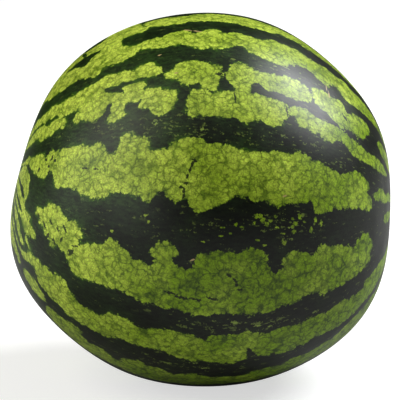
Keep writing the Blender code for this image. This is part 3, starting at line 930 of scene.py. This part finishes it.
def buildRindTree(material):
    # Geometry Nodes: a grid wrapped round the growth axis, set out to the body's radius
    tree, given = newTree("rindBody", rindShape)
    grid = addNode(tree, "GeometryNodeMeshGrid", {
        "Size X": 1.0, "Size Y": 1.0, "Vertices X": given["Rings"], "Vertices Y": given["Sides"],
    }).outputs
    shares = addNode(tree, "ShaderNodeSeparateXYZ", (grid["UV Map"],)).outputs
    turns = []
    for share, whole in ((shares[0], math.pi), (shares[1], 2 * math.pi)):
        angle = addNode(tree, mathNode, (share, whole), operation="MULTIPLY")
        turns += [addNode(tree, mathNode, (angle,), operation=name) for name in ("COSINE", "SINE")]
    alongCos, alongSin, roundCos, roundSin = turns

    # way out from the axis' middle, then from the body's middle
    ringFront = addNode(tree, vectorNode, {0: front, "Scale": roundCos}, operation="SCALE")
    ringUp = addNode(tree, vectorNode, {0: upward, "Scale": roundSin}, operation="SCALE")
    ring = addNode(tree, vectorNode, (ringFront, ringUp), operation="ADD")
    across = addNode(tree, vectorNode, {0: ring, "Scale": alongSin}, operation="SCALE")
    onward = addNode(tree, vectorNode, {0: -growthAxis, "Scale": alongCos}, operation="SCALE")
    way = addNode(tree, vectorNode, (across, onward), operation="ADD")
    guess = addNode(tree, vectorNode, (way, (axisHalf,) * 3, axisMiddle), operation="MULTIPLY_ADD")
    outward = addNode(tree, vectorNode, (guess,), operation="NORMALIZE")

    # the swells, in the plane square to Y
    sides = addNode(tree, "ShaderNodeSeparateXYZ", (outward,)).outputs
    flat = addNode(tree, "ShaderNodeCombineXYZ", {0: sides[0], 2: sides[2]})
    flatLength = addNode(tree, vectorNode, (flat,), operation="LENGTH")
    flatAngle = addNode(tree, mathNode, (sides[2], sides[0]), operation="ARCTAN2")
    radius = given["Body Radius"]
    for lobes, height, first in body["swells"]:
        turned = (flatAngle, float(lobes), -lobes * math.radians(first))
        phase = addNode(tree, mathNode, turned, operation="MULTIPLY_ADD")
        wave = addNode(tree, mathNode, (phase,), operation="COSINE")
        fade = addNode(tree, mathNode, (flatLength, float(lobes)), operation="POWER")
        swell = addNode(tree, mathNode, (wave, fade), operation="MULTIPLY")
        radius = addNode(tree, mathNode, (swell, height, radius), operation="MULTIPLY_ADD")

    # a dimple at each end
    reach = {}
    for end, direction in (("Stem", stemDirection), ("Blossom", blossomDirection)):
        cosine = addNode(tree, vectorNode, (outward, direction), operation="DOT_PRODUCT")
        angle = addNode(tree, mathNode, (cosine,), operation="ARCCOSINE")
        reach[end] = addNode(tree, mathNode, (angle, given["Body Radius"]), operation="MULTIPLY")
        bent = (reach[end], 0.0, given[end + " Dimple Radius"], 0.0, math.pi)
        bowl = addNode(tree, mathNode, (addNode(tree, rampNode, bent),), operation="COSINE")
        bowl = addNode(tree, mathNode, (bowl, 0.5, 0.5), operation="MULTIPLY_ADD")
        bowl = addNode(tree, mathNode, (bowl, given[end + " Dimple Depth"]), operation="MULTIPLY")
        radius = addNode(tree, mathNode, (radius, bowl), operation="SUBTRACT")

    # the blossom scar, like a button
    share = addNode(tree, mathNode, (reach["Blossom"], given["Scar Radius"]), operation="DIVIDE")
    button = addNode(tree, mathNode, (share, 4.0), operation="POWER")
    button = addNode(tree, mathNode, (1.0, button), operation="SUBTRACT", use_clamp=True)
    radius = addNode(tree, mathNode, (button, given["Scar Height"], radius), operation="MULTIPLY_ADD")

    # low, wide waves, as no grown rind is quite even
    scale = addNode(tree, mathNode, (given["Body Radius"], given["Relief Size"]), operation="DIVIDE")
    waves = addNode(tree, noiseNode, {
        "Vector": outward, "W": given["Seed"], "Scale": scale, "Detail": 2.0,
    }, noise_dimensions="4D")
    centred = addNode(tree, mathNode, (waves, 0.5), operation="SUBTRACT")
    radius = addNode(tree, mathNode, (centred, given["Relief Height"], radius), operation="MULTIPLY_ADD")

    # place every point, and press the underside flat on the floor
    place = addNode(tree, vectorNode, {0: outward, "Scale": radius}, operation="SCALE")
    place = addNode(tree, vectorNode, (place, bodyMiddle), operation="ADD")
    place = addNode(tree, vectorNode, (place, (-1.0, -1.0, 0.0)), operation="MAXIMUM")
    placed = addNode(tree, "GeometryNodeSetPosition", {"Geometry": grid["Mesh"], "Position": place})
    closed = addNode(tree, "GeometryNodeMergeByDistance", {"Geometry": placed, "Distance": 0.01 * mm})
    return closeTree(tree, closed, material)


def bakeTree(piece, tree, values):
    # runs a tree on a piece with these inputs, and leaves a plain mesh
    modifier = piece.modifiers.new(tree.name, "NODES")
    modifier.node_group = tree
    for socket in tree.interface.items_tree:
        if socket.in_out == "INPUT" and socket.name in values:
            modifier[socket.identifier] = values[socket.name]
    made = piece.evaluated_get(bpy.context.evaluated_depsgraph_get())
    mesh = bpy.data.meshes.new_from_object(made)
    piece.modifiers.clear()
    mesh.name = piece.name
    piece.data = mesh
    return mesh


def makeRind():
    rind = bpy.data.objects.new("rind", bpy.data.meshes.new("rind"))
    scene.collection.objects.link(rind)
    mesh = bakeTree(rind, buildRindTree(makeRindMaterial()), rindShape)
    whole = bmesh.new()
    whole.from_mesh(mesh)
    bmesh.ops.recalc_face_normals(whole, faces=whole.faces)
    whole.to_mesh(mesh)
    whole.free()
    paintMarkings(mesh)
    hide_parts("melon")
    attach(rind, "root")
    print("rind made:", len(mesh.vertices), "vertices")
    return rind


makeRind()


stubShape = {
    "Levels": 3,
    "Rib Height": 0.35 * mm,
    "Rib Size": 1.1 * mm,
    "Rib Length": 9.0 * mm,
    "Pit Height": 0.10 * mm,
    "Pit Size": 0.6 * mm,
    "Seed": 7.0,
}

stubLooks = {
    "fibre": "#8B7A4B",
    "shadow": "#3F3520",
    "roughness": 0.85,
    "fibreMm": 0.55,
    "fibreLengthMm": 7.0,
}


def stalkPlace(tree, coords):
    # places measured from the stem end of the fruit, with X along the growth axis
    away = addNode(tree, vectorNode, (coords, bodyMiddle + stemPoint), operation="SUBTRACT")
    turn = {"Vector": away, "Rotation": fruitTurn.to_euler()}
    return addNode(tree, "ShaderNodeVectorRotate", turn, rotation_type="EULER_XYZ")


def makeStalkMaterial():
    # Cut watermelon stalk, dried on the fruit: matt, fibrous and straw brown, with shadow between
    # its shrunken fibres.
    looks = stubLooks
    material = bpy.data.materials.new("driedStalk")
    material.use_nodes = True
    tree = material.node_tree
    shader = tree.nodes["Principled BSDF"]
    turned = stalkPlace(tree, addNode(tree, "ShaderNodeTexCoord").outputs["Object"])
    across, onward = 1 / (looks["fibreMm"] * mm), 1 / (looks["fibreLengthMm"] * mm)
    drawn = addNode(tree, vectorNode, (turned, (onward, across, across)), operation="MULTIPLY")
    fibres = addNode(tree, noiseNode, {"Vector": drawn, "Scale": 1.0, "Detail": 3.0})
    share = addNode(tree, rampNode, (fibres, 0.35, 0.62))
    color = addNode(tree, mixNode, {
        mixFactor: share, mixA: linear(looks["shadow"]), mixB: linear(looks["fibre"]),
    }, **rgba)
    tree.links.new(color.outputs[2], shader.inputs["Base Color"])
    shader.inputs["Roughness"].default_value = looks["roughness"]
    bump = addNode(tree, "ShaderNodeBump", {"Strength": 0.6, "Distance": 0.3 * mm, "Height": fibres})
    tree.links.new(bump.outputs[0], shader.inputs["Normal"])
    return material


def buildStubTree(material):
    # Geometry Nodes: the plain stub made finer, with shrunken ribs up its side and pits over it
    tree, given = newTree("stemStub", stubShape, [("Geometry", "NodeSocketGeometry")])
    plain = {"Mesh": given["Geometry"], "Level": given["Levels"]}
    finer = addNode(tree, "GeometryNodeSubdivisionSurface", plain)
    turned = stalkPlace(tree, addNode(tree, "GeometryNodeInputPosition"))
    ribLong, ribWide, pitWide = [
        addNode(tree, mathNode, (1.0, given[size]), operation="DIVIDE")
        for size in ("Rib Length", "Rib Size", "Pit Size")
    ]
    stretch = addNode(tree, "ShaderNodeCombineXYZ", (ribLong, ribWide, ribWide))
    ribPlace = addNode(tree, vectorNode, (turned, stretch), operation="MULTIPLY")
    push = 0.0
    for where, scale, detail, height in (
        (ribPlace, 1.0, 1.0, "Rib Height"), (turned, pitWide, 2.0, "Pit Height"),
    ):
        bumps = addNode(tree, noiseNode, {
            "Vector": where, "W": given["Seed"], "Scale": scale, "Detail": detail,
        }, noise_dimensions="4D")
        centred = addNode(tree, mathNode, (bumps, 0.5), operation="SUBTRACT")
        push = addNode(tree, mathNode, (centred, given[height], push), operation="MULTIPLY_ADD")
    doubled = addNode(tree, mathNode, (push, 2.0), operation="MULTIPLY")
    normal = addNode(tree, "GeometryNodeInputNormal")
    offset = addNode(tree, vectorNode, {0: normal, "Scale": doubled}, operation="SCALE")
    moved = addNode(tree, "GeometryNodeSetPosition", {"Geometry": finer, "Offset": offset})
    return closeTree(tree, moved, material)


def makeStub():
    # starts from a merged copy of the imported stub
    plain = bpy.data.meshes.new("stemStub")
    whole = bmesh.new()
    whole.from_mesh(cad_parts["stem_stub"].data)
    bmesh.ops.remove_doubles(whole, verts=whole.verts, dist=0.005 * mm)
    bmesh.ops.join_triangles(
        whole, faces=whole.faces,
        angle_face_threshold=math.radians(25), angle_shape_threshold=math.radians(60),
    )
    whole.to_mesh(plain)
    whole.free()
    plain.materials.clear()
    stub = bpy.data.objects.new("stemStub", plain)
    scene.collection.objects.link(stub)
    mesh = bakeTree(stub, buildStubTree(makeStalkMaterial()), stubShape)
    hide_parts("stem_stub")
    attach(stub, "root")
    print("stub made:", len(mesh.vertices), "vertices")


makeStub()

studio = {
    "floorColor": "#C0C0BE",
    "floorGlow": 0.66,       # the camera sees the paper this much brighter, near white
    "floorSize": 8.0,
    "floorRoughness": 0.9,
    "world": "#F4F4F4",
    "gamma": 0.87,
    "lights": {  # direction from the fruit, distance, size, watts, colour
        "key": ((-0.66, -0.26, 0.70), 3.8, 3.0, 62.0, "#FFFCF4"),
        "leftFill": ((-0.93, -0.10, 0.24), 3.8, 2.4, 28.0, "#FFFFFF"),
        "frontLeft": ((-0.66, -0.70, 0.10), 3.8, 2.4, 29.0, "#FFFFFF"),
        "overhead": ((0.0, -0.2, 0.98), 3.8, 3.0, 10.0, "#FFFFFF"),
        "rightFill": ((0.95, 0.0, 0.3), 3.8, 3.0, 12.0, "#FFFFFF"),
        "window": ((0.67, 0.24, 0.70), 3.4, 2.3, 148.0, "#FAFBFF"),
    },
}


def makeStudio():
    floor = bpy.data.objects.new("floor", bpy.data.meshes.new("floor"))
    half = studio["floorSize"] / 2
    corners = [(-half, -half, 0), (half, -half, 0), (half, half, 0), (-half, half, 0)]
    floor.data.from_pydata(corners, [], [(0, 1, 2, 3)])
    scene.collection.objects.link(floor)
    paper = bpy.data.materials.new("matteStudioPaper")
    paper.use_nodes = True
    shader = paper.node_tree.nodes["Principled BSDF"]
    shader.inputs["Base Color"].default_value = linear(studio["floorColor"])
    shader.inputs["Roughness"].default_value = studio["floorRoughness"]
    shader.inputs["Emission Color"].default_value = linear("#FFFFFF")
    seen = addNode(paper.node_tree, "ShaderNodeLightPath").outputs["Is Camera Ray"]
    glow = addNode(paper.node_tree, mathNode, (seen, studio["floorGlow"]), operation="MULTIPLY")
    paper.node_tree.links.new(glow.outputs[0], shader.inputs["Emission Strength"])
    floor.data.materials.append(paper)

    # a pale wall far behind, which the camera sees but which lights nothing
    world = bpy.data.worlds.new("studio")
    world.use_nodes = True
    tree = world.node_tree
    seen = addNode(tree, "ShaderNodeLightPath").outputs["Is Camera Ray"]
    tree.nodes["Background"].inputs[0].default_value = linear(studio["world"])
    tree.links.new(seen, tree.nodes["Background"].inputs[1])
    scene.world = world
    for name, (direction, distance, size, watts, color) in studio["lights"].items():
        lamp = bpy.data.lights.new(name, "AREA")
        lamp.shape = "DISK"
        lamp.size = size
        lamp.energy = watts
        lamp.color = linear(color)[:3]
        light = bpy.data.objects.new(name, lamp)
        way = Vector(direction).normalized()
        aimed = way.to_track_quat("Z", "Y").to_matrix().to_4x4()
        light.matrix_world = Matrix.Translation(bodyMiddle + way * distance) @ aimed
        scene.collection.objects.link(light)
    scene.view_settings.view_transform = "Standard"
    scene.view_settings.gamma = studio["gamma"]


makeStudio()
print("studio made")
